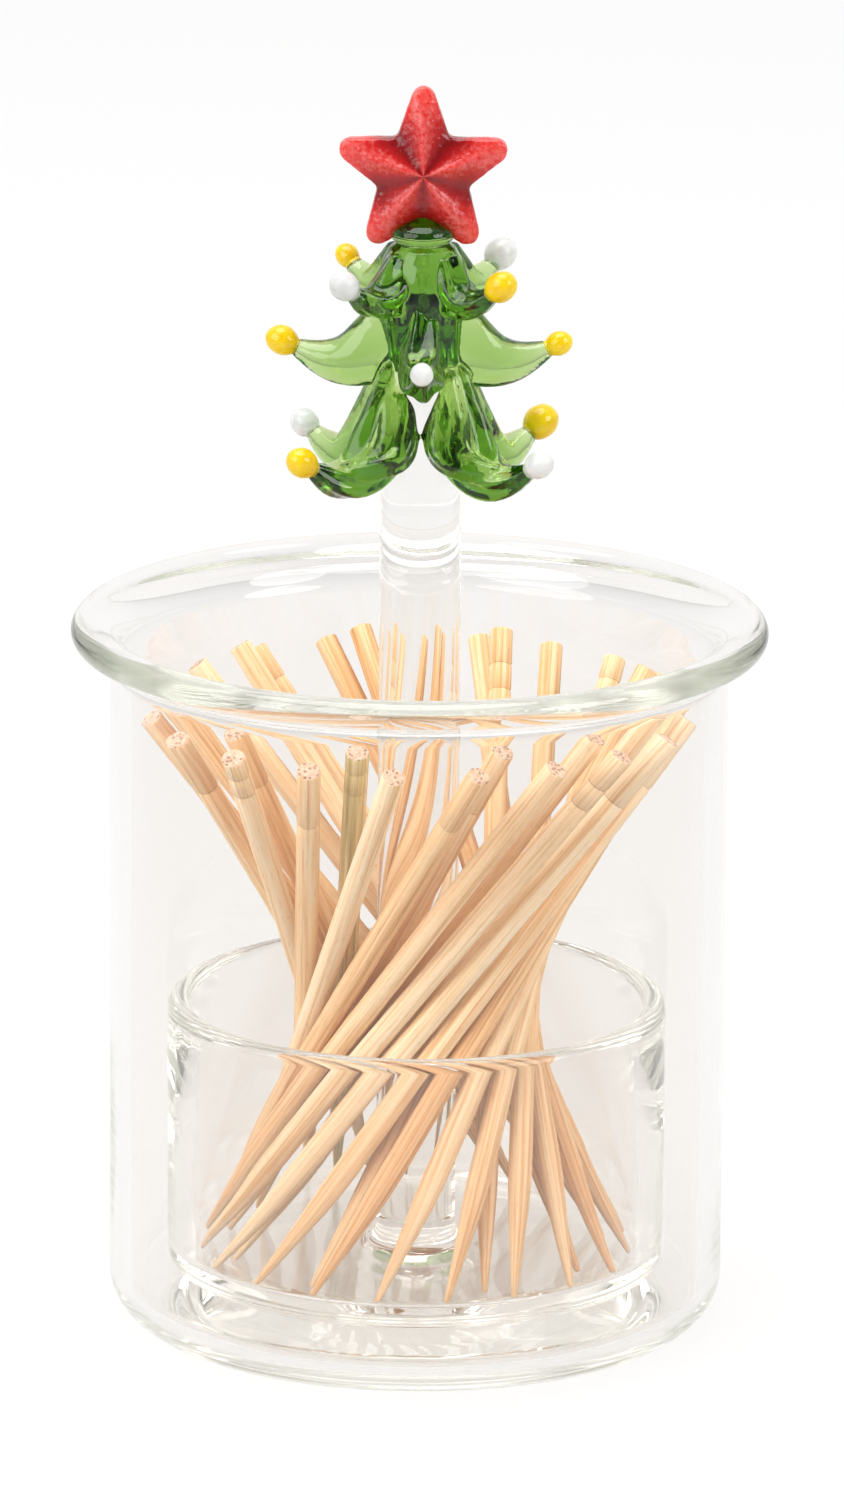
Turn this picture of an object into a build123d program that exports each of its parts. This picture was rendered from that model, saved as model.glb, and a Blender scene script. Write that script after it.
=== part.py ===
from build123d import *
import os
from math import acos, cos, pi, radians, sin, sqrt

os.makedirs("parts", exist_ok=True)

# Sizes in millimetres. The axis of jar, cup, rod and tree is Z, and the jar stands on z = 0.

# Clear outer jar with a flared, rounded lip and a floor that rises to a crown
jar_diameter = 58.0
jar_wall = 2.0
jar_floor = 2.4
jar_height = 68.3
lip_overhang = 3.7
lip_thickness = 2.7
jar_corner = 5.0
jar_inner_corner = 2.5
crown_height = 5.4
crown_diameter = 34.0

# Clear cup that stands on the crown of the jar floor and lifts out
cup_diameter = 47.0
cup_wall = 2.2
cup_floor = 2.0
cup_height = 26.4
cup_corner = 2.0
cup_inner_corner = 0.8

# Solid clear rod welded on the cup floor
rod_diameter = 7.6
rod_foot = 1.9
rod_foot_step = 0.3

# Green glass tree on the rod: a cap over the rod end and three tiers of four branches
cap_bottom = 98.0
cap_top = 106.8
cap_wall = 0.8
rod_top = 100.0
branch_root = 2.2
branch_stations = 6
tip_half_height = 0.72
tip_half_width = 0.85

# One row per tier: spread of each pair beside the X axis, or 0 for even spacing from it,
# root z, tip radius, tip z, sag, half height at the root, greatest half width
tiers = {
    "top": (43.0, 102.8, 9.0, 100.8, 2.0, 3.1, 2.2),
    "mid": (0.0, 95.6, 12.0, 94.2, 2.0, 3.8, 2.3),
    "low": (36.0, 89.8, 12.7, 84.3, 4.0, 3.8, 3.0),
}

# Glass beads fused on the branch tips. Each was melted on by hand, so the diameters differ.
bead_diameters = {
    "top": (2.9, 2.2, 2.7, 2.9),
    "mid": (2.3, 2.4, 2.8, 2.2),
    "low": (3.2, 2.6, 2.8, 2.6),
}
bead_stretch = 1.15
bead_seat = 0.5

# Red glass star standing in the cap
star_height_z = 110.8
star_tip_radius = 10.0
star_notch_radius = 4.0
star_rim = 2.2
star_depth = 5.4
star_tip_round = 0.9
star_notch_round = 0.7

# Bamboo toothpicks, leaning all the same way round the rod in two nested rings
pick_diameter = 2.2
pick_length = 66.0
pick_taper = 11.0
pick_point = 0.5
pick_chamfer = 0.15
pick_lean = 37.5
pick_gap = 0.42
head_clearance = 0.7
foot_clearance = 0.25
rod_gap = 2.05

# Azimuths of the pick heads, in degrees from +X: chosen by hand near the ones in the photograph
# and spaced so that neighbours clear each other
ring_heads = [-169, -150, -131.5, -113, -95, -77.5, -60.5, -43.5, -26.5, -9]
ring_heads += [8, 25, 42.5, 60, 77, 94, 111, 128.5, 147, 168]
inner_heads = [-164.5, -137, -104, -70.5, -45.5, -16, 19, 70, 104.5, 138.5]

# Sizes that follow from the ones above
jar_r = jar_diameter / 2
jar_bore_r = jar_r - jar_wall
lip_r = lip_thickness / 2
lip_centre_r = jar_r + lip_overhang - lip_r
flare_out = lip_centre_r - jar_r
flare_in = lip_centre_r - jar_bore_r
flare_z = jar_height - lip_thickness - flare_out
cup_r = cup_diameter / 2
cup_bore_r = cup_r - cup_wall
cup_bottom = crown_height
cup_floor_z = cup_bottom + cup_floor
cup_rim_z = cup_bottom + cup_height - cup_wall / 2
rod_r = rod_diameter / 2
rod_foot_r = rod_r + rod_foot
rod_foot_z = cup_floor_z + rod_foot_step
cap_r = rod_r + cap_wall
cap_swell_r = 0.55 * cap_r
cap_swell_z = cap_bottom + 0.55 * (cap_top - cap_bottom)
pick_r = pick_diameter / 2
layer_step = pick_diameter + 0.2
foot_r = cup_bore_r - cup_inner_corner
foot_z = cup_floor_z + foot_clearance
head_r = jar_bore_r - pick_r - head_clearance
ring_waist_r = len(ring_heads) * (pick_diameter + pick_gap) / (2 * pi * cos(radians(pick_lean)))
inner_waist_r = rod_r + pick_r + rod_gap

# Outer jar, turned from its half section
with BuildPart() as outer_jar:
    with BuildSketch(Plane.XZ):
        with BuildLine():
            Line((0, 0), (jar_r - jar_corner, 0))
            CenterArc((jar_r - jar_corner, jar_corner), jar_corner, -90, 90)
            Line((jar_r, jar_corner), (jar_r, flare_z))
            CenterArc((lip_centre_r, flare_z), flare_out, 180, -90)
            CenterArc((lip_centre_r, jar_height - lip_r), lip_r, -90, 180)
            CenterArc((lip_centre_r, jar_height - flare_in), flare_in, 90, 90)
            Line((jar_bore_r, jar_height - flare_in), (jar_bore_r, jar_floor + jar_inner_corner))
            CenterArc(
                (jar_bore_r - jar_inner_corner, jar_floor + jar_inner_corner), jar_inner_corner, 0, -90
            )
            Spline(
                (jar_bore_r - jar_inner_corner, jar_floor),
                (crown_diameter / 2, crown_height),
                tangents=((-1, 0), (-1, 0)),
            )
            Line((crown_diameter / 2, crown_height), (0, crown_height))
            Line((0, crown_height), (0, 0))
        make_face()
    revolve(axis=Axis.Z)
outer_jar.part.label = "outer_jar"
export_step(outer_jar.part, "parts/outer_jar.step")

# Lift-out cup, with a fire-rounded rim
with BuildPart() as lift_cup:
    with BuildSketch(Plane.XZ):
        with BuildLine():
            Line((0, cup_bottom), (cup_r - cup_corner, cup_bottom))
            CenterArc((cup_r - cup_corner, cup_bottom + cup_corner), cup_corner, -90, 90)
            Line((cup_r, cup_bottom + cup_corner), (cup_r, cup_rim_z))
            CenterArc((cup_r - cup_wall / 2, cup_rim_z), cup_wall / 2, 0, 180)
            Line((cup_bore_r, cup_rim_z), (cup_bore_r, cup_floor_z + cup_inner_corner))
            CenterArc(
                (cup_bore_r - cup_inner_corner, cup_floor_z + cup_inner_corner), cup_inner_corner, 0, -90
            )
            Line((cup_bore_r - cup_inner_corner, cup_floor_z), (0, cup_floor_z))
            Line((0, cup_floor_z), (0, cup_bottom))
        make_face()
    revolve(axis=Axis.Z)
lift_cup.part.label = "lift_cup"
export_step(lift_cup.part, "parts/lift_cup.step")

# Rod, with the hollow-curved weld foot that joins it to the cup floor
with BuildPart() as stem_rod:
    with BuildSketch(Plane.XZ):
        with BuildLine():
            Line((0, cup_floor_z), (rod_foot_r, cup_floor_z))
            Line((rod_foot_r, cup_floor_z), (rod_foot_r, rod_foot_z))
            CenterArc((rod_foot_r, rod_foot_z + rod_foot), rod_foot, -90, -90)
            Line((rod_r, rod_foot_z + rod_foot), (rod_r, rod_top))
            Line((rod_r, rod_top), (0, rod_top))
            Line((0, rod_top), (0, cup_floor_z))
        make_face()
    revolve(axis=Axis.Z)
stem_rod.part.label = "stem_rod"
export_step(stem_rod.part, "parts/stem_rod.step")

# Cap: a domed drop of green glass melted over the rod end
with BuildPart() as tree_cap:
    with BuildSketch(Plane.XZ):
        with BuildLine():
            Bezier((cap_r, cap_bottom), (cap_r, cap_swell_z), (cap_swell_r, cap_top), (0, cap_top))
            Line((0, cap_top), (0, rod_top))
            Line((0, rod_top), (rod_r, rod_top))
            Line((rod_r, rod_top), (rod_r, cap_bottom))
            Line((rod_r, cap_bottom), (cap_r, cap_bottom))
        make_face()
    revolve(axis=Axis.Z)
tree_cap.part.label = "tree_cap"
export_step(tree_cap.part, "parts/tree_cap.step")


def radial(azimuth, r, z):
    """Point at radius r and height z in the upright plane of this azimuth."""
    return Vector(r * cos(radians(azimuth)), r * sin(radians(azimuth)), z)


def branch_station(azimuth, tier, t):
    """Section plane, half width and half height of a branch at t, 0 at the root and 1 at the tip."""
    root_z, tip_r, tip_z, sag, root_height, width = tiers[tier][1:]
    r = branch_root + (tip_r - branch_root) * t
    z = root_z + (tip_z - root_z) * t - sag * sin(pi * t)
    along = radial(azimuth, tip_r - branch_root, tip_z - root_z - sag * pi * cos(pi * t))
    across = (-sin(radians(azimuth)), cos(radians(azimuth)), 0)
    plane = Plane(origin=radial(azimuth, r, z), x_dir=across, z_dir=along)
    half_width = tip_half_width + (width - tip_half_width) * sin(pi * (0.2 + 0.8 * t))
    half_height = tip_half_height + (root_height - tip_half_height) * (1 - t**1.3)
    return plane, half_width, half_height


# Branches: drop-shaped blades that sag from the rod and curl up at the tip. Each is trimmed by
# the glass that was there before it, so neighbours meet face to face.
laid = [stem_rod.part, tree_cap.part]
for tier, row in tiers.items():
    spread = row[0]
    azimuths = [spread, 180 - spread, 180 + spread, 360 - spread] if spread else [0, 90, 180, 270]
    for k, azimuth in enumerate(azimuths, start=1):
        with BuildPart() as branch:
            for n in range(branch_stations):
                station, half_width, half_height = branch_station(azimuth, tier, n / (branch_stations - 1))
                with BuildSketch(station):
                    Ellipse(half_width, half_height)
            loft()
            add(laid, mode=Mode.SUBTRACT)
        branch.part.label = f"branch_{tier}_{k}"
        export_step(branch.part, f"parts/branch_{tier}_{k}.step")
        laid.append(branch.part)

        # Bead on the tip: an egg of coloured glass with the branch end sunk into it
        tip = branch_station(azimuth, tier, 1.0)[0]
        egg = Plane(origin=tip.origin, x_dir=tip.z_dir, z_dir=tip.x_dir)
        bead_r = bead_diameters[tier][k - 1] / 2
        half_length = bead_r * bead_stretch
        with BuildPart() as bead:
            with BuildSketch(egg):
                with BuildLine():
                    EllipticalCenterArc((half_length - bead_seat, 0), half_length, bead_r, 0, arc_size=180)
                    Line((-bead_seat, 0), (2 * half_length - bead_seat, 0))
                make_face()
            revolve(axis=Axis(tip.origin, tip.z_dir))
            add(branch.part, mode=Mode.SUBTRACT)
        bead.part.label = f"bead_{tier}_{k}"
        export_step(bead.part, f"parts/bead_{tier}_{k}.step")

# Star: a thick five-point outline with a ridge from the middle to each tip, front and back
star_plane = Plane(origin=(0, 0, star_height_z), x_dir=(1, 0, 0), z_dir=(0, -1, 0))
star_points = []
for n in range(10):
    reach = star_notch_radius if n % 2 else star_tip_radius
    star_points.append((-reach * sin(n * pi / 5), reach * cos(n * pi / 5)))
with BuildPart() as star:
    with BuildSketch(star_plane):
        with BuildLine():
            Polyline(*star_points, close=True)
        make_face()
        corners = vertices().sort_by_distance((0, 0, star_height_z))
        fillet(corners[5:], star_tip_round)
        fillet(vertices().sort_by_distance((0, 0, star_height_z))[:5], star_notch_round)
    extrude(amount=star_rim / 2, both=True)
    for side in (-1, 1):
        rim_face = faces().sort_by(Axis.Y)[0 if side < 0 else -1]
        loft(sections=[rim_face, Vertex(0, side * star_depth / 2, star_height_z)], ruled=True)
    add(laid[:6], mode=Mode.SUBTRACT)
star.part.label = "star"
export_step(star.part, "parts/star.step")

# Toothpicks: each is a straight line that touches its ring's waist circle round the rod
picks = [(head, ring_waist_r, 0.0) for head in ring_heads]
picks += [(head, inner_waist_r, layer_step) for head in inner_heads]
for n, (head, waist_r, inset) in enumerate(picks, start=1):
    to_head = sqrt((head_r - inset) ** 2 - waist_r**2)
    to_foot = sqrt((foot_r - inset) ** 2 - waist_r**2)
    rise = sqrt(pick_length**2 - (to_head + to_foot) ** 2)
    waist = radians(head) - acos(waist_r / (head_r - inset))
    outward = Vector(cos(waist), sin(waist), 0)
    onward = Vector(-sin(waist), cos(waist), 0)
    foot = outward * waist_r - onward * to_foot + Vector(0, 0, foot_z)
    along = (onward * (to_head + to_foot) + Vector(0, 0, rise)).normalized()
    with BuildPart() as toothpick:
        with BuildSketch(Plane(origin=foot, x_dir=outward, z_dir=outward.cross(along))):
            with BuildLine():
                Polyline(
                    (0, 0),
                    (pick_point / 2, 0),
                    (pick_r, pick_taper),
                    (pick_r, pick_length - pick_chamfer),
                    (pick_r - pick_chamfer, pick_length),
                    (0, pick_length),
                    close=True,
                )
            make_face()
        revolve(axis=Axis(foot, along))
    toothpick.part.label = f"toothpick_{n:02d}"
    export_step(toothpick.part, f"parts/toothpick_{n:02d}.step")
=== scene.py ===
from collections import namedtuple
from math import atan2, cos, pi, radians, sin
from random import Random

import bmesh
import bpy
from mathutils import Matrix, Vector, noise


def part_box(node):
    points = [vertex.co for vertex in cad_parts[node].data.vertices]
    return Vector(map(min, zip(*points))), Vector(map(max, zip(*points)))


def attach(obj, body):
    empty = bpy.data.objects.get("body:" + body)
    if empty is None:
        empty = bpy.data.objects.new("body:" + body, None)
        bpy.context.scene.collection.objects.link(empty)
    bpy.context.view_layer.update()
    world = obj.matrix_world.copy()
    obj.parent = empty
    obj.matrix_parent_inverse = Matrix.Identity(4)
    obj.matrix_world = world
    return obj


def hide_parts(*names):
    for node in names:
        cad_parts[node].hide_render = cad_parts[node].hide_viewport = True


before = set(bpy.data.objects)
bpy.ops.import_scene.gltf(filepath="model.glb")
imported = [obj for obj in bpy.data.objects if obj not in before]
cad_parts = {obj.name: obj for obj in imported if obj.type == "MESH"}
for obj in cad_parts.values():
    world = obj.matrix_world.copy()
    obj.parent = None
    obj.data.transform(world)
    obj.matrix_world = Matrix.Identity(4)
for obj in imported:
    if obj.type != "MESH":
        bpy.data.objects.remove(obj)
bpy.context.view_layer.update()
scene = bpy.context.scene
mm = 0.001

# Sizes in millimetres, as in the solids. The clear rod alone ends lower, in a dome,
# where the green glass of the tree begins.
jar_r, jar_bore_r, jar_floor, jar_height = 29.0, 27.0, 2.4, 68.3
jar_corner, jar_inner_corner, crown_r, crown_height = 5.0, 2.5, 17.0, 5.4
lip_r, lip_centre_r = 1.35, 31.35
cup_r, cup_bore_r, cup_floor, cup_top = 23.5, 21.3, 7.4, 31.8
cup_corner, cup_inner_corner = 2.0, 0.8
rod_r, rod_foot, rod_end, rod_dome = 3.8, 1.9, 92.6, 2.6
cap_top = 106.8
branch_root, tip_half_width, tip_half_height = 2.2, 0.85, 0.72
star_centre = 110.8
pick_count, pick_length, pick_r = 30, 66.0, 1.1

# Air left under glass that stands on something
hair = 0.03

# Drops of green glass: spread from the X axis in degrees, root z, tip radius, tip z, sag, half
# height at the root, greatest half width, and the smear of the root up the rod in half heights.
# The top tier's roots are lower and thinner than in the solids.
Drop = namedtuple("Drop", "spread root_z tip_r tip_z sag root_height width smear")
drops = {
    "top": Drop(43.0, 101.9, 9.0, 100.8, 2.0, 2.6, 2.2, 0.3),
    "mid": Drop(0.0, 95.6, 12.0, 94.2, 2.0, 3.8, 2.3, 1.6),
    "low": Drop(36.0, 89.8, 12.7, 84.3, 4.0, 3.8, 3.0, 0.9),
    "lobe": Drop(36.0, 90.0, 9.8, 83.4, 1.5, 2.7, 2.8, 0.2),
}
tiers = ("top", "mid", "low")
# The lobe is the broad inner half of the two low branches that face the front.
# It bows toward the middle by so many degrees and comes back.
lobe_bow = 24.0
bead_diameters = {
    "top": (2.9, 2.2, 2.7, 2.9),
    "mid": (2.3, 2.4, 2.8, 2.2),
    "low": (3.2, 2.6, 2.8, 2.6),
}
white_beads = ("top_1", "top_3", "mid_2", "mid_4", "low_2", "low_4")


class Wire:
    """A shader socket that takes part in sums. Each sum adds a Math node."""

    def __init__(self, paint, socket):
        self.paint, self.socket = paint, socket

    def sum(self, operation, first, second=0.0):
        return self.paint.add("ShaderNodeMath", {"operation": operation}, {0: first, 1: second})

    def __add__(self, other):
        return self.sum("ADD", self, other)

    def __radd__(self, other):
        return self.sum("ADD", other, self)

    def __sub__(self, other):
        return self.sum("SUBTRACT", self, other)

    def __rsub__(self, other):
        return self.sum("SUBTRACT", other, self)

    def __mul__(self, other):
        return self.sum("MULTIPLY", self, other)

    def __rmul__(self, other):
        return self.sum("MULTIPLY", other, self)

    def __pow__(self, other):
        return self.sum("POWER", self, other)

    def __gt__(self, other):
        return self.sum("GREATER_THAN", self, other)

    def __lt__(self, other):
        return self.sum("LESS_THAN", self, other)


class Paint:
    """One material or world, with a method that adds any node."""

    # Sockets of a Mix node that mixes colours, whose names are not unique
    mix_share, mix_first, mix_second, mix_result = 0, 6, 7, 2

    def __init__(self, holder):
        self.holder = holder
        holder.use_nodes = True
        self.tree = holder.node_tree
        self.tree.nodes.clear()

    def add(self, kind, settings=None, sockets=None, out=0):
        node = self.tree.nodes.new(kind)
        for key, value in (settings or {}).items():
            if key == "stops":
                ramp = node.color_ramp
                ramp.elements[0].position = value[0][0]
                ramp.elements[1].position = value[-1][0]
                for place, _ in value[1:-1]:
                    ramp.elements.new(place)
                for element, (_, colour) in zip(ramp.elements, value):
                    element.color = (*colour, 1.0)
            else:
                setattr(node, key, value)
        for key, value in (sockets or {}).items():
            if isinstance(value, Wire):
                self.tree.links.new(value.socket, node.inputs[key])
            else:
                node.inputs[key].default_value = value
        return Wire(self, node.outputs[out]) if node.outputs else None

    def place(self):
        return self.add("ShaderNodeTexCoord", out="Object")

    def axis(self, vector, name):
        return self.add("ShaderNodeSeparateXYZ", {}, {"Vector": vector}, out=name)

    def ray(self, kind):
        return self.add("ShaderNodeLightPath", out=f"Is {kind} Ray")

    def stretched(self, vector, scale):
        return self.add("ShaderNodeMapping", {}, {"Vector": vector, "Scale": scale})

    def noise(self, vector, scale, detail=3.0, rough=0.5):
        sockets = {"Vector": vector, "Scale": scale, "Detail": detail, "Roughness": rough}
        return self.add("ShaderNodeTexNoise", {}, sockets)

    def cells(self, vector, scale):
        return self.add("ShaderNodeTexVoronoi", {}, {"Vector": vector, "Scale": scale})

    def remap(self, value, start, end, low, high):
        """Brings start to low and end to high, and stays there beyond them."""
        ends = {"From Min": start, "From Max": end, "To Min": low, "To Max": high}
        return self.add("ShaderNodeMapRange", {}, {"Value": value, **ends})

    def ramp(self, value, *stops):
        return self.add("ShaderNodeValToRGB", {"stops": stops}, {"Fac": value})

    def mix(self, share, first, second, blend="MIX"):
        settings = {"data_type": "RGBA", "blend_type": blend}
        sockets = {self.mix_share: share, self.mix_first: first, self.mix_second: second}
        return self.add("ShaderNodeMix", settings, sockets, out=self.mix_result)

    def bump(self, height, strength, distance):
        sockets = {"Height": height, "Strength": strength, "Distance": distance}
        return self.add("ShaderNodeBump", {}, sockets)

    def surface(self, sockets, volume=None, film=None):
        """Ends the material. With a film colour, lamp light passes through to what is behind."""
        skin = self.add("ShaderNodeBsdfPrincipled", {}, sockets)
        if film:
            from_lamp = self.ray("Shadow")
            clear = self.add("ShaderNodeBsdfTransparent", {}, {"Color": film})
            skin = self.add("ShaderNodeMixShader", {}, {0: from_lamp, 1: skin, 2: clear})
        ends = {"Surface": skin}
        if volume:
            colour, density = volume
            depth = {"Color": colour, "Density": density}
            ends["Volume"] = self.add("ShaderNodeVolumeAbsorption", {}, depth)
        self.add("ShaderNodeOutputMaterial", {}, ends)
        return self.holder


def paint(name):
    return Paint(bpy.data.materials.new(name))


def glass(name, tint, film, absorbed, density, wave_scale, wave_depth, cord_depth):
    """Blown glass with slow waves, upright cords drawn in the melt and a faint haze of handling."""
    p = paint(name)
    where = p.place()
    waves = p.noise(where, wave_scale, 1.5)
    cords = p.noise(p.stretched(where, (1.0, 1.0, 0.3)), wave_scale * 4.0, 2.0)
    haze = p.noise(where, wave_scale * 3.1, 3.0)
    return p.surface(
        {
            "Base Color": tint,
            "Roughness": haze * 0.012,
            "IOR": 1.47,
            "Transmission Weight": 1.0,
            "Normal": p.bump(waves + cords * (cord_depth / wave_depth), 1.0, wave_depth),
        },
        (absorbed, density),
        film,
    )


def opal_glass():
    """White glass, milky inside, with clearer swirls."""
    p = paint("opal_white_glass")
    where = p.place()
    swirl = p.noise(where, 420.0, 4.0, 0.55)
    fine = p.noise(where, 1900.0, 2.0)
    return p.surface(
        {
            "Base Color": p.ramp(swirl, (0.32, (0.56, 0.58, 0.57)), (0.6, (0.84, 0.84, 0.83))),
            "Roughness": 0.06 + fine * 0.1,
            "IOR": 1.5,
            "Transmission Weight": 0.18,
            "Subsurface Weight": 0.4,
            "Subsurface Radius": (1.0, 0.97, 0.93),
            "Subsurface Scale": 0.0008,
            "Normal": p.bump(swirl, 0.2, 0.0002),
        }
    )


def yellow_glass():
    """Opaque yellow glass with orange depth and a few dark seeds."""
    p = paint("yellow_glass")
    where = p.place()
    swirl = p.noise(where, 380.0, 4.0, 0.6)
    seeds = p.cells(where, 900.0) < 0.07
    body = p.ramp(
        swirl,
        (0.3, (0.70, 0.40, 0.003)),
        (0.48, (0.80, 0.53, 0.004)),
        (0.66, (0.86, 0.64, 0.008)),
    )
    return p.surface(
        {
            "Base Color": p.mix(seeds * 0.5, body, (0.42, 0.14, 0.003, 1.0)),
            "Roughness": 0.07 + swirl * 0.1,
            "IOR": 1.5,
            "Subsurface Weight": 0.25,
            "Subsurface Radius": (1.0, 0.7, 0.1),
            "Subsurface Scale": 0.0006,
            "Normal": p.bump(swirl, 0.2, 0.0002),
        }
    )


def star_glass():
    """Red glass pressed from grains, with painted shade and light: darker red hollows, ridges
    lighter with frost and a painted highlight, and a painted glow at the points.
    """
    p = paint("pebbled_red_glass")
    where = p.place()
    blotch = p.noise(where, 330.0, 3.0, 0.6)
    grains = p.noise(where, 2200.0, 3.0, 0.65)
    pebbles = p.cells(where, 1700.0)
    across = p.axis(where, "X")
    up = p.axis(where, "Z") - star_centre * mm
    turn = across.sum("ARCTAN2", across, up)
    ridge = across.sum("COSINE", turn * 5.0) * 0.5 + 0.5
    reach = (across * across + up * up) ** 0.5
    # Painted glow: toward the points the red is mixed to a brighter red, as if light shone through
    # them.
    tip_glow = p.remap(reach + blotch * 0.003, start=0.0062, end=0.0092, low=0.0, high=1.0)
    # Painted shade: the hollows between the ridges are darker red and the ridges lighter; the
    # blotches are the glass's own mottling.
    red_with_hollow_shade = p.ramp(
        ridge * 0.7 + blotch * 0.6 - 0.15,
        (0.1, (0.19, 0.003, 0.005)),
        (0.45, (0.38, 0.007, 0.009)),
        (0.8, (0.58, 0.02, 0.017)),
    )
    body = p.mix(tip_glow * 0.8, red_with_hollow_shade, (0.70, 0.028, 0.018, 1.0))
    # Frost mask: partly the glass's own grainy frosting, partly a painted highlight along the
    # ridges.
    frost_and_ridge_sheen = grains * 0.7 + ridge * 0.3
    frost_and_sheen = p.ramp(frost_and_ridge_sheen, (0.54, (0.0, 0.0, 0.0)), (0.72, (1.0, 1.0, 1.0)))
    return p.surface(
        {
            "Base Color": p.mix(frost_and_sheen * 0.3, body, (0.84, 0.30, 0.28, 1.0)),
            "Roughness": 0.05 + grains * 0.2,
            "IOR": 1.5,
            "Subsurface Weight": 0.4,
            "Subsurface Radius": (1.0, 0.06, 0.05),
            "Subsurface Scale": 0.0018,
            "Normal": p.bump(pebbles * 0.6 + grains, 0.24, 0.0002),
        }
    )


def bamboo_skin(name, dark, mid, light):
    """Turned bamboo along the pick: UV is millimetres, U round it and V along it."""
    p = paint(name)
    uv = p.add("ShaderNodeUVMap", {"uv_map": "turned"})
    fibre = p.noise(p.stretched(uv, (2.6, 0.035, 1.0)), 1.0, 5.0, 0.6)
    streak = p.noise(p.stretched(uv, (0.55, 0.02, 1.0)), 1.0, 3.0, 0.5)
    fine = p.noise(p.stretched(uv, (9.0, 0.12, 1.0)), 1.0, 3.0, 0.6)
    tone = fibre * 0.5 + streak * 0.28 + fine * 0.22
    colour = p.ramp(tone, (0.4, dark), (0.48, mid), (0.56, light))
    pores = p.noise(p.stretched(uv, (7.0, 0.45, 1.0)), 1.0, 2.0, 0.5) > 0.66
    return p.surface(
        {
            "Base Color": p.mix(pores * 0.35, colour, (0.42, 0.22, 0.10, 1.0)),
            "Roughness": 0.52 + fine * 0.2,
            "IOR": 1.45,
            "Normal": p.bump(fine * 0.6 + fibre, 0.35, 0.0002),
        }
    )


def bamboo_end():
    """Sawn end of a pick: pale fibre with brown pores."""
    p = paint("bamboo_cut_end")
    where = p.place()
    pores = p.cells(where, 2300.0)
    grit = p.noise(where, 3000.0, 3.0)
    base = p.ramp(grit, (0.35, (0.58, 0.36, 0.24)), (0.65, (0.78, 0.55, 0.40)))
    return p.surface(
        {
            "Base Color": p.mix((pores < 0.34) * 0.8, base, (0.27, 0.12, 0.06, 1.0)),
            "Roughness": 0.75 + grit * 0.2,
            "Normal": p.bump(pores + grit, 0.6, 0.0002),
        }
    )


# The jar and the cup are of one clear glass, but lamp light leaves the cup warmer
clear = {
    "tint": (0.965, 0.95, 0.935, 1.0),
    "absorbed": (0.74, 0.78, 0.65, 1.0),
    "density": 5.0,
    "wave_depth": 0.00012,
    "cord_depth": 0.000007,
}
jar_glass = glass("clear_jar_glass", film=(0.95, 0.94, 0.93, 1.0), wave_scale=45.0, **clear)
cup_glass = glass("clear_cup_glass", film=(0.87, 0.80, 0.73, 1.0), wave_scale=55.0, **clear)
tree_glass = glass(
    "green_tree_glass",
    tint=(0.95, 1.0, 0.74, 1.0),
    film=(0.85, 0.95, 0.80, 1.0),
    absorbed=(0.40, 0.66, 0.02, 1.0),
    density=350.0,
    wave_scale=160.0,
    wave_depth=0.0005,
    cord_depth=0.00012,
)
bead_white, bead_yellow = opal_glass(), yellow_glass()
star_red = star_glass()
pick_skins = (
    bamboo_skin("bamboo_pale", (0.70, 0.38, 0.16), (0.90, 0.575, 0.30), (0.95, 0.74, 0.48)),
    bamboo_skin("bamboo_tan", (0.60, 0.29, 0.105), (0.84, 0.485, 0.225), (0.92, 0.66, 0.385)),
    bamboo_skin("bamboo_straw", (0.74, 0.45, 0.20), (0.93, 0.66, 0.39), (0.97, 0.80, 0.57)),
)
olive_skin = bamboo_skin("bamboo_olive", (0.40, 0.28, 0.09), (0.60, 0.46, 0.20), (0.84, 0.66, 0.38))
pick_score = bamboo_skin("bamboo_scored", (0.40, 0.20, 0.09), (0.58, 0.33, 0.16), (0.72, 0.46, 0.25))
pick_end = bamboo_end()


def piece(name, bm, slot, nodes, *skins, body="insert"):
    """Turns a bmesh into a smooth piece that rides on its body and stands for its nodes."""
    mesh = bpy.data.meshes.new(name)
    bm.to_mesh(mesh)
    bm.free()
    for skin in skins:
        mesh.materials.append(skin)
    mesh.polygons.foreach_set("use_smooth", [True] * len(mesh.polygons))
    made = bpy.data.objects.new(name, mesh)
    scene.collection.objects.link(made)
    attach(made, body)
    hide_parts(*nodes)


def bend(r, z, radius, start, end, count=8):
    """Points of a round corner of a half outline, centre (r, z), angles in degrees."""
    turns = [radians(start + (end - start) * n / count) for n in range(count + 1)]
    return [(r + radius * cos(a), z + radius * sin(a)) for a in turns]


def turned(outline, steps):
    """Spins a half outline of (radius, height) in millimetres round Z."""
    bm = bmesh.new()
    chain = [bm.verts.new((r * mm, 0, z * mm)) for r, z in outline]
    links = [bm.edges.new(pair) for pair in zip(chain, chain[1:])]
    bmesh.ops.spin(
        bm,
        geom=chain + links,
        cent=(0, 0, 0),
        axis=(0, 0, 1),
        angle=2 * pi,
        steps=steps,
        use_merge=True,
    )
    bmesh.ops.remove_doubles(bm, verts=bm.verts, dist=2e-7)
    bmesh.ops.recalc_face_normals(bm, faces=bm.faces)
    return bm


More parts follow.
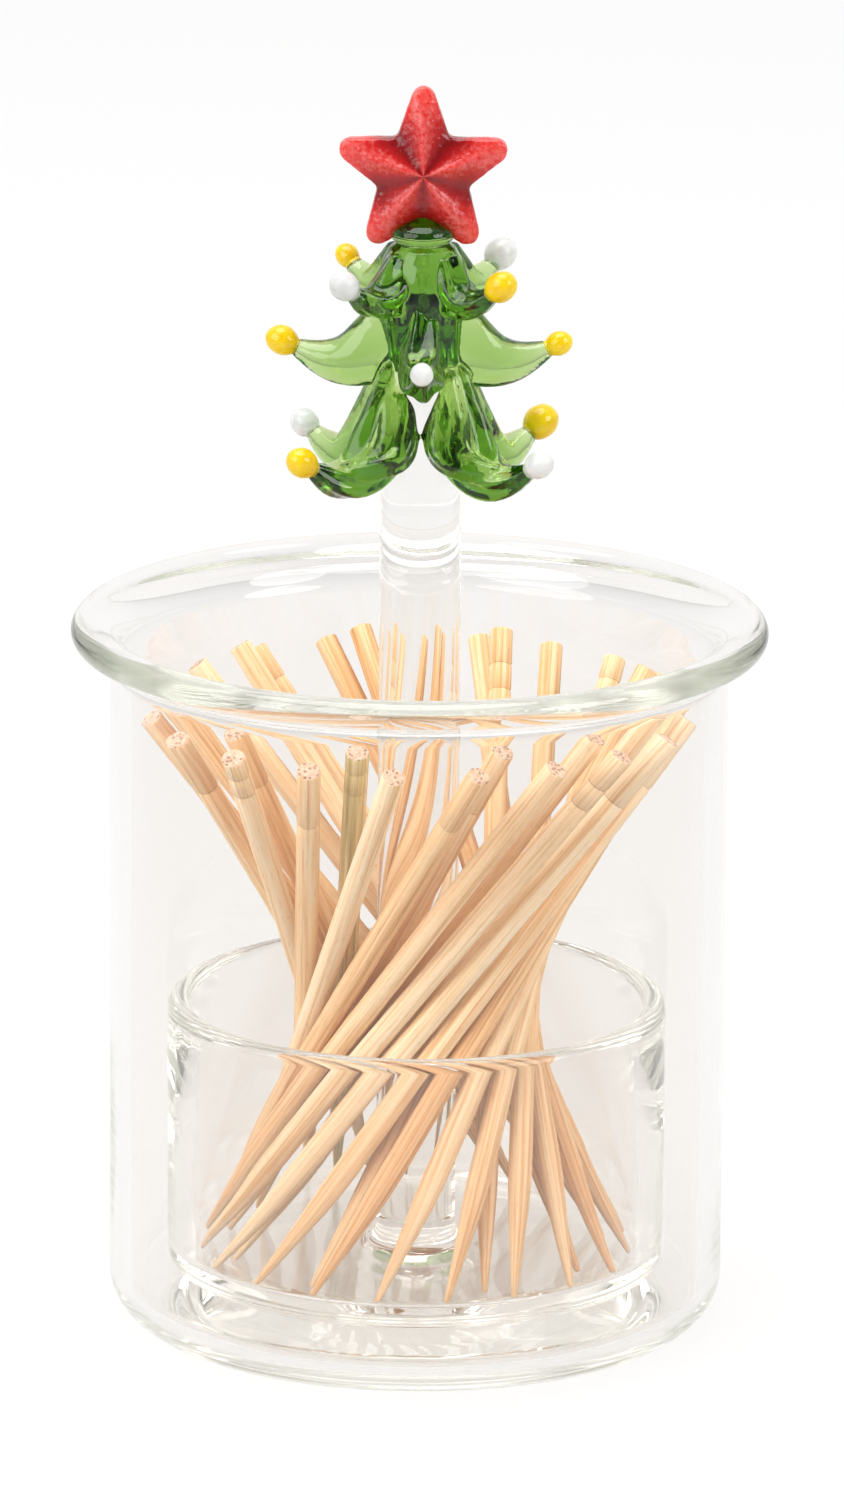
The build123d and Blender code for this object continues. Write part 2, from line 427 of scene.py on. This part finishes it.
# Outer jar: a flat underside, a moat and a crown inside, and a flared and rounded lip
jar_loops, climb_steps = (20, 40), 12
moat_r, climb = jar_bore_r - jar_inner_corner, crown_height - jar_floor
flare_out, flare_in = lip_centre_r - jar_r, lip_centre_r - jar_bore_r
flare_z = jar_height - 2 * lip_r - flare_out
jar_outline = [(0, 0), (12, 0)]
jar_outline += bend(jar_r - jar_corner, jar_corner, jar_corner, -90, 0, 12)
jar_outline += [(jar_r, z) for z in jar_loops]
jar_outline += bend(lip_centre_r, flare_z, flare_out, 180, 90)
jar_outline += bend(lip_centre_r, jar_height - lip_r, lip_r, -90, 90, 14)[1:]
jar_outline += bend(lip_centre_r, jar_height - flare_in, flare_in, 90, 180, 12)[1:]
jar_outline += [(jar_bore_r, z) for z in reversed(jar_loops)]
jar_outline += bend(moat_r, jar_floor + jar_inner_corner, jar_inner_corner, 0, -90)
for n in range(1, climb_steps + 1):
    u = n / climb_steps
    jar_outline.append((moat_r + (crown_r - moat_r) * u, jar_floor + climb * u * u * (3 - 2 * u)))
jar_outline += [(8, crown_height), (0, crown_height)]
piece("jar_blown", turned(jar_outline, 192), "clear_glass", ["outer_jar"], jar_glass, body="jar")

# Cup and rod, one piece of glass: a hair above the jar floor, as a standing cup is
cup_loop, rod_loops, weld_rise = 16, (30, 60), 0.1
wall = cup_r - cup_bore_r
cup_bottom = crown_height + hair
cup_outline = [(0, cup_bottom), (10, cup_bottom)]
cup_outline += bend(cup_r - cup_corner, cup_bottom + cup_corner, cup_corner, -90, 0)
cup_outline += [(cup_r, cup_loop)]
cup_outline += bend(cup_r - wall / 2, cup_top - wall / 2, wall / 2, 0, 180, 12)
cup_outline += [(cup_bore_r, cup_loop)]
cup_outline += bend(
    cup_bore_r - cup_inner_corner, cup_floor + cup_inner_corner, cup_inner_corner, 0, -90, 6
)
cup_outline += [(12, cup_floor)]
cup_outline += bend(rod_r + rod_foot, cup_floor + weld_rise + rod_foot, rod_foot, -90, -180)
cup_outline += [(rod_r, z) for z in rod_loops]
cup_outline += bend(rod_r - rod_dome, rod_end - rod_dome, rod_dome, 0, 90) + [(0, rod_end)]
piece("cup_and_rod", turned(cup_outline, 160), "clear_glass", ["lift_cup", "stem_rod"], cup_glass)


# Tree: branches grown from rings, fused with the cap into one body of glass
swell_start, taper_power = 0.2, 1.3
root_thinning, root_power = 0.88, 1.6
ring_corners, furrow_count, furrow_wind = 48, 5, 0.7
root_steps, branch_steps = 6, 18
front_furrow, back_furrow, lobe_furrow = 0.2, 0.03, 0.15
melt_voxel = 0.17 * mm


def branch_place(azimuth, tier, t):
    """Where a branch section lies at t, 0 at the root and 1 at the tip, scaled to its half sizes."""
    drop = drops[tier]
    outward = Vector((cos(radians(azimuth)), sin(radians(azimuth)), 0))
    across = Vector((-outward.y, outward.x, 0))
    r = branch_root + (drop.tip_r - branch_root) * t
    z = drop.root_z + (drop.tip_z - drop.root_z) * t - drop.sag * sin(pi * t)
    rise = drop.tip_z - drop.root_z - drop.sag * pi * cos(pi * t)
    along = (outward * (drop.tip_r - branch_root) + Vector((0, 0, rise))).normalized()
    over = along.cross(across)
    swell = sin(pi * (swell_start + (1 - swell_start) * t))
    half_width = tip_half_width + (drop.width - tip_half_width) * swell
    half_height = tip_half_height + (drop.root_height - tip_half_height) * (1 - t**taper_power)
    middle = outward * r + Vector((0, 0, z))
    turn = Matrix((across, over, along)).transposed().to_4x4()
    sizes = Matrix.Diagonal((half_width * mm, half_height * mm, mm, 1.0))
    return Matrix.Translation(middle * mm) @ turn @ sizes


def tier_azimuths(tier):
    spread = drops[tier].spread
    return [spread, 180 - spread, 180 + spread, 360 - spread] if spread else [0, 90, 180, 270]


def root_place(azimuth, tier, t):
    """The same above the root, where the drop was smeared up the rod: t runs from -1 to 0."""
    at = branch_place(azimuth, tier, 0.0)
    rise = Matrix.Translation((0, 0, -t * drops[tier].root_height * drops[tier].smear * mm))
    thin = 1.0 - root_thinning * (-t) ** root_power
    return rise @ at @ Matrix.Diagonal((thin, thin, 1.0, 1.0))


def grow_branch(bm, azimuth, tier, furrow, bow=0.0):
    """Draws a branch out of a ring with long furrows, which wind a little on the way to the tip."""
    ring = bmesh.ops.create_circle(bm, segments=ring_corners, radius=1.0)["verts"]
    ring_set = set(ring)
    edges = [e for e in bm.edges if e.verts[0] in ring_set and e.verts[1] in ring_set]
    for v in ring:
        around = furrow_count * atan2(v.co.y, v.co.x) + azimuth
        v.co *= 1.0 - furrow * (0.5 + 0.5 * cos(around))
    stations = [root_place(azimuth, tier, n / root_steps) for n in range(-root_steps, 0)]
    for n in range(branch_steps + 1):
        t = n / branch_steps
        wind = Matrix.Rotation(furrow_wind * n / branch_steps, 4, "Z")
        stations.append(branch_place(azimuth + bow * sin(pi * t), tier, t) @ wind)
    last = stations[0]
    bmesh.ops.transform(bm, matrix=last, verts=ring)
    bmesh.ops.edgeloop_fill(bm, edges=edges)
    for now in stations[1:]:
        grown = bmesh.ops.extrude_edge_only(bm, edges=edges)["geom"]
        ring = [g for g in grown if isinstance(g, bmesh.types.BMVert)]
        edges = [g for g in grown if isinstance(g, bmesh.types.BMEdge)]
        bmesh.ops.transform(bm, matrix=now @ last.inverted(), verts=ring)
        last = now
    bmesh.ops.edgeloop_fill(bm, edges=edges)


def drop_crumbs(bm):
    """Deletes what a cut can leave: needles, faces back to back, and islands off the main body."""
    bmesh.ops.triangulate(bm, faces=bm.faces)
    bmesh.ops.dissolve_degenerate(bm, dist=2e-7, edges=bm.edges)
    bmesh.ops.triangulate(bm, faces=bm.faces)
    bm.verts.index_update()
    same_corners = {}
    for face in bm.faces:
        same_corners.setdefault(frozenset(v.index for v in face.verts), []).append(face)
    doubled = [face for faces in same_corners.values() if len(faces) > 1 for face in faces]
    bmesh.ops.delete(bm, geom=doubled, context="FACES")
    islands, seen = [], set()
    for first in bm.verts:
        if first in seen:
            continue
        seen.add(first)
        island = [first]
        for v in island:
            for edge in v.link_edges:
                other = edge.other_vert(v)
                if other not in seen:
                    seen.add(other)
                    island.append(other)
        islands.append(island)
    islands.sort(key=len)
    crumbs = [v for island in islands[:-1] for v in island]
    bmesh.ops.delete(bm, geom=crumbs, context="VERTS")


def fused(bm, rounds, bore=None):
    """Melts overlapping shapes into one soft skin, opens the bore and returns it as a new bmesh."""
    rough = bpy.data.meshes.new("melt")
    bmesh.ops.recalc_face_normals(bm, faces=bm.faces)
    bm.to_mesh(rough)
    bm.free()
    holder = bpy.data.objects.new("melt", rough)
    scene.collection.objects.link(holder)
    melt = holder.modifiers.new("melt", "REMESH")
    melt.mode, melt.voxel_size = "VOXEL", melt_voxel
    soften = holder.modifiers.new("soften", "SMOOTH")
    soften.factor, soften.iterations = 0.5, rounds
    spent_objects = [holder]
    if bore:
        cutter = bpy.data.objects.new("bore", bpy.data.meshes.new("bore"))
        bore.to_mesh(cutter.data)
        bore.free()
        scene.collection.objects.link(cutter)
        cut = holder.modifiers.new("bore", "BOOLEAN")
        cut.operation, cut.solver, cut.object = "DIFFERENCE", "EXACT", cutter
        spent_objects.append(cutter)
    done = bmesh.new()
    done.from_object(holder, bpy.context.evaluated_depsgraph_get())
    for spent in spent_objects:
        mesh = spent.data
        bpy.data.objects.remove(spent)
        bpy.data.meshes.remove(mesh)
    drop_crumbs(done)
    return done


# The cap: a core folded lengthwise round the rod's end, a dome, a crease and a knob
core_outline = [(0, 90.9), (3.9, 90.9), (4.15, 91.5), (4.0, 94.0), (4.1, 97.0)]
dome_outline = [(4.4, 99.2), (4.25, 101.0), (3.7, 102.6), (3.1, 103.7), (2.3, 104.25)]
knob_outline = [(2.85, 104.5), (3.2, 104.95), (3.05, 105.55), (2.4, 106.15), (1.3, 106.62)]
fold_top, fold_count, fold_twist, fold_depth = 98.5, 9, 0.2, 0.06
tree = turned(core_outline + dome_outline + knob_outline + [(0, cap_top)], 96)
for v in tree.verts:
    if v.co.z < fold_top * mm:
        around = fold_count * atan2(v.co.y, v.co.x) + v.co.z / mm * fold_twist
        fold = 1 - fold_depth + fold_depth * cos(around)
        v.co.x, v.co.y = v.co.x * fold, v.co.y * fold
for tier in tiers:
    for azimuth in tier_azimuths(tier):
        facing = sin(radians(azimuth)) < -0.2
        grow_branch(tree, azimuth, tier, front_furrow if facing else back_furrow)
        if facing and tier == "low":
            inward = lobe_bow if azimuth < 270 else -lobe_bow
            grow_branch(tree, azimuth, "lobe", lobe_furrow, inward)
# The bore is a little smaller than the rod, so that the two glasses meet without a gap
inset, bore_foot = 0.05, 70
bore_outline = [(0, bore_foot), (rod_r - inset, bore_foot)]
bore_outline += bend(rod_r - rod_dome, rod_end - rod_dome, rod_dome - inset, 0, 90)
bore_outline += [(0, rod_end - inset)]
tree = fused(tree, 4, turned(bore_outline, 64))
tree_nodes = ["tree_cap"] + [f"branch_{tier}_{k}" for tier in tiers for k in range(1, 5)]
piece("tree_melted", tree, "green_glass", tree_nodes, tree_glass)

# Beads: eggs of glass with a soft neck where they were melted on the tips
bead_stretch, bead_seat, bead_dent = 1.15, 0.5, 0.05
bead_neck = [(0, -0.45), (0.75, -0.45), (0.82, -0.2)]
for tier in tiers:
    for k, azimuth in enumerate(tier_azimuths(tier), start=1):
        r = bead_diameters[tier][k - 1] / 2
        long = r * bead_stretch
        outline = list(bead_neck)
        for a in (radians(degrees) for degrees in range(40, 180, 10)):
            outline.append((r * sin(a), long - bead_seat - long * cos(a)))
        outline += [(0, 2 * long - bead_seat)]
        bead = turned(outline, 28)
        at, turn, _ = branch_place(azimuth, tier, 1.0).decompose()
        lay = Matrix.Translation(at) @ turn.to_matrix().to_4x4()
        bmesh.ops.transform(bead, matrix=lay, verts=bead.verts)
        for v in bead.verts:
            v.co += v.normal * noise.noise(v.co * 900) * bead_dent * mm
        name = f"{tier}_{k}"
        white = name in white_beads
        slot = "white_glass" if white else "yellow_glass"
        skin = bead_white if white else bead_yellow
        piece(f"bead_{name}_melted", bead, slot, [f"bead_{name}"], skin)

# Star: a fan of faces with rounded points, mirrored front to back, softened and ridged as pressed
# glass is, then fitted to the box of its solid, a little flatter
low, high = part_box("star")
star_z = star_centre * mm
star = bmesh.new()
point_reach, point_half, point_round = 8.9 * mm, 0.86 * mm, 0.95 * mm
rim_y, peak_y = -1.1 * mm, -3.2 * mm
ridge_height, ridge_power, ridge_reach = 0.26, 4, 8.5
pebbles = ((420, 0.06), (1300, 0.035), (2400, 0.02))
flatness = (1.0, 0.78, 1.0)
notch_reaches = [reach * mm for reach in (4.5, 4.8, 4.8, 4.8, 4.5)]
corners, outline = [], []
for n, notch_reach in enumerate(notch_reaches):
    turn = Matrix.Translation((0, rim_y, star_z)) @ Matrix.Rotation(-n * 2 * pi / 5, 4, "Y")
    pair = [star.verts.new(turn @ Vector((side * point_half, 0, point_reach))) for side in (1, -1)]
    notch = turn @ (notch_reach * Vector((-sin(pi / 5), 0, cos(pi / 5))))
    corners += pair
    outline += pair + [star.verts.new(notch)]
star.faces.new(outline)
bmesh.ops.bevel(
    star, geom=corners, offset=point_round, affect="VERTICES", segments=4, profile=0.5, material=-1
)
peak = bmesh.ops.poke(star, faces=star.faces[:])["verts"][0]
peak.co = (0, peak_y, star_z)
rim = [e for e in star.edges if e.is_boundary]
for made in bmesh.ops.extrude_edge_only(star, edges=rim)["geom"]:
    if isinstance(made, bmesh.types.BMVert):
        made.co.y = 0.0
front = star.verts[:] + star.edges[:] + star.faces[:]
bmesh.ops.mirror(star, geom=front, axis="Y", merge_dist=1e-6)
bmesh.ops.remove_doubles(star, verts=star.verts, dist=1e-6)
star = fused(star, 32)
for v in star.verts:
    across, up = v.co.x / mm, v.co.z / mm - star_centre
    from_centre, point = (across**2 + up**2) ** 0.5, cos(5 * atan2(across, up))
    swell = sin(pi * min(from_centre / ridge_reach, 1))
    v.co.y *= 1 + ridge_height * max(point, 0) ** ridge_power * swell
star.normal_update()
for v in star.verts:
    pebble = sum(noise.noise(v.co * scale) * height for scale, height in pebbles)
    v.co += v.normal * pebble * mm
bmesh.ops.recalc_face_normals(star, faces=star.faces)
least = [min(v.co[a] for v in star.verts) for a in range(3)]
most = [max(v.co[a] for v in star.verts) for a in range(3)]
middle = Vector([(most[a] + least[a]) / 2 for a in range(3)])
stretch = [(high[a] - low[a]) / (most[a] - least[a]) * flatness[a] for a in range(3)]
centre = (Vector(low) + Vector(high)) / 2
fit = Matrix.Translation(centre) @ Matrix.Diagonal(stretch).to_4x4() @ Matrix.Translation(-middle)
bmesh.ops.transform(star, matrix=fit, verts=star.verts)
piece("star_pressed", star, "red_glass", ["star"], star_red)


# Toothpicks: turned along their own axis, then laid on the axis of their solid
def pick_axis(node):
    """Foot and direction of a pick's solid, from the middles of its two ends."""
    points = [v.co.copy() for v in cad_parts[node].data.vertices]
    bottom, top = min(points, key=lambda p: p.z), max(points, key=lambda p: p.z)
    along = (top - bottom).normalized()
    for _ in range(2):
        reach = [p.dot(along) for p in points]
        ends = []
        for limit, sign in ((min(reach), 1), (max(reach), -1)):
            near = [p for p, s in zip(points, reach) if (s - limit) * sign < 0.05 * mm]
            spots = {tuple(round(c, 6) for c in p) for p in near}
            ends.append(sum((Vector(p) for p in spots), Vector()) / len(spots))
        along = (ends[1] - ends[0]).normalized()
    return ends[0], along


pick_taper = [(0, 0), (0.17, 0.03), (0.25, 0.16), (0.40, 2.0), (0.60, 4.6)]
pick_taper += [(0.79, 7.2), (0.94, 9.2), (1.04, 10.8), (1.09, 12.4)]
pick_loops = (15.0, 24.0, 33.0, 42.0, 50.0, 56.0)
pick_waver = 0.02
# Scored rings below the head, as distances down from it: the choices repeat over the picks.
# One pick is olive and has rings of its own.
pick_rings = ((7.4,), (), (6.8,), (2.4, 5.0), (7.8,), (), (7.1,), (), (3.6, 6.2), (7.6,))
olive_pick, olive_rings = 23, (2.4, 5.4)
groove_r, groove_half = pick_r - 0.11, 0.09
# Places of a pick's materials, after its skin
end_skin, score_skin = 1, 2


def make_pick(n):
    node = f"toothpick_{n:02d}"
    luck = Random(n)
    outline = pick_taper + [(pick_r, z) for z in pick_loops]
    rings = olive_rings if n == olive_pick else pick_rings[n % len(pick_rings)]
    for down in sorted(rings, reverse=True):
        at = pick_length - down
        outline += [(pick_r, at - 0.22), (groove_r, at - 0.04)]
        outline += [(groove_r, at + 0.04), (pick_r, at + 0.2)]
    outline += [(pick_r, pick_length - 0.22), (pick_r - 0.05, pick_length - 0.06)]
    outline += [(pick_r - 0.16, pick_length), (0.5, pick_length - 0.03), (0, pick_length - 0.02)]
    bm = turned(outline, 20)
    uv = bm.loops.layers.uv.new("turned")
    start = Vector((luck.uniform(0, 90), luck.uniform(0, 900)))
    for face in bm.faces:
        angles = [atan2(l.vert.co.y, l.vert.co.x) for l in face.loops]
        wrap = max(angles) - min(angles) > pi
        for l, a in zip(face.loops, angles):
            a = a + 2 * pi if wrap and a < 0 else a
            l[uv].uv = (start.x + a * pick_r, start.y + l.vert.co.z / mm)
        height = face.calc_center_median().z / mm
        if min(l.vert.co.z for l in face.loops) > (pick_length - 0.1) * mm:
            face.material_index = end_skin
        elif any(abs(height - pick_length + down) < groove_half for down in rings):
            face.material_index = score_skin
    for v in bm.verts:
        rough = noise.noise(Vector((v.co.x * 700, v.co.y * 700, v.co.z * 60 + n * 7)))
        v.co.x *= 1 - pick_waver + pick_waver * rough
        v.co.y *= 1 - pick_waver + pick_waver * rough
    foot, along = pick_axis(node)
    lean = along.to_track_quat("Z", "Y").to_matrix().to_4x4()
    lay = lean @ Matrix.Rotation(luck.uniform(0, 6), 4, "Z")
    bmesh.ops.transform(bm, matrix=Matrix.Translation(foot) @ lay, verts=bm.verts)
    skin = olive_skin if n == olive_pick else luck.choice(pick_skins)
    piece(f"{node}_turned", bm, "bamboo", [node], skin, pick_end, pick_score)


for n in range(1, pick_count + 1):
    make_pick(n)

# Floor: a white sheet; in the glass it runs out to dimmer ground in front of the jar and beside it
floor_paint = paint("pale_floor")
where = floor_paint.place()
seen = floor_paint.ray("Camera")
mirrored = floor_paint.ray("Glossy")
through = floor_paint.ray("Transmission")
aside = floor_paint.axis(where, "X")
aside = aside.sum("ABSOLUTE", aside)
near = floor_paint.axis(where, "Y")
level = floor_paint.remap(near, start=-0.45, end=-0.12, low=0.8, high=1.0)
sides = floor_paint.remap(aside, start=0.16, end=0.6, low=1.0, high=0.72)
white = seen.sum("MAXIMUM", level * sides * 0.94, seen)
weave = floor_paint.noise(where, 900.0, 2.0)
tone = floor_paint.mix(white, (0.0, 0.0, 0.0, 1.0), (0.93, 0.93, 0.93, 1.0))
cloth = floor_paint.add("ShaderNodeBsdfDiffuse", {}, {"Color": tone, "Roughness": weave * 0.2})
shade = floor_paint.mix(1.0, tone, (0.28, 0.28, 0.28, 1.0), "MULTIPLY")
faint = floor_paint.add("ShaderNodeBsdfDiffuse", {}, {"Color": shade})
glow = floor_paint.add("ShaderNodeEmission", {}, {"Color": tone, "Strength": 0.71})
shown = floor_paint.add("ShaderNodeAddShader", {}, {0: faint, 1: glow})
in_view = seen + mirrored + through
both = floor_paint.add("ShaderNodeMixShader", {}, {0: in_view, 1: cloth, 2: shown})
floor_paint.add("ShaderNodeOutputMaterial", {}, {"Surface": both})
ground = bmesh.new()
bmesh.ops.create_grid(ground, x_segments=1, y_segments=1, size=4.0)
floor_mesh = bpy.data.meshes.new("floor")
ground.to_mesh(floor_mesh)
ground.free()
floor_mesh.materials.append(floor_paint.holder)
floor = bpy.data.objects.new("floor", floor_mesh)
floor.location.z = -hair * mm
scene.collection.objects.link(floor)

# World: a white wall behind the holder, which fades to a dim room in front of it
room = Paint(bpy.data.worlds.new("white_room"))
scene.world = room.holder
toward = room.add("ShaderNodeTexCoord", out="Generated")
wall_light = room.remap(room.axis(toward, "Y"), start=-0.5, end=0.6, low=0.15, high=1.0)
wall_white = (1.0, 0.99, 0.98, 1.0)
sky = room.add("ShaderNodeBackground", {}, {"Color": wall_white, "Strength": wall_light})
room.add("ShaderNodeOutputWorld", {}, {"Surface": sky})


def softbox(name, spot, target, size, power):
    lamp = bpy.data.lights.new(name, "AREA")
    lamp.shape, lamp.size, lamp.energy = "DISK", size, power
    box = bpy.data.objects.new(name, lamp)
    box.location = spot
    box.rotation_euler = (Vector(target) - Vector(spot)).to_track_quat("-Z", "Y").to_euler()
    scene.collection.objects.link(box)


softbox("top_softbox", (-0.1, 0.0, 1.15), (0, 0, 0.05), size=1.0, power=10.0)
softbox("left_softbox", (-0.9, -0.8, 0.7), (0, 0, 0.06), size=1.2, power=12.0)
softbox("right_softbox", (0.95, -0.6, 0.6), (0, 0, 0.06), size=0.7, power=6.0)

# Camera: the photograph's place, with its slight roll
look, distance = Vector((0.3, 0, 55.23)) * mm, 1200.0 * mm
rise, roll = radians(15.3), radians(0.45)
eye_data = bpy.data.cameras.new("photo_camera")
eye_data.lens, eye_data.sensor_width, eye_data.sensor_fit = 306.7, 36.0, "AUTO"
eye_data.clip_start, eye_data.clip_end = 0.01, 20.0
camera = bpy.data.objects.new("photo_camera", eye_data)
camera.location = look + Vector((0, -cos(rise), sin(rise))) * distance
tilt = Matrix.Rotation(pi / 2 - rise, 3, "X") @ Matrix.Rotation(roll, 3, "Z")
camera.rotation_euler = tilt.to_euler()
scene.collection.objects.link(camera)
scene.camera = camera

# Light passes many walls of glass before it ends
glass_bounces = 128
scene.view_settings.view_transform = "Standard"
scene.cycles.max_bounces = glass_bounces
scene.cycles.transmission_bounces = glass_bounces
scene.cycles.glossy_bounces = glass_bounces
scene.cycles.diffuse_bounces = 4
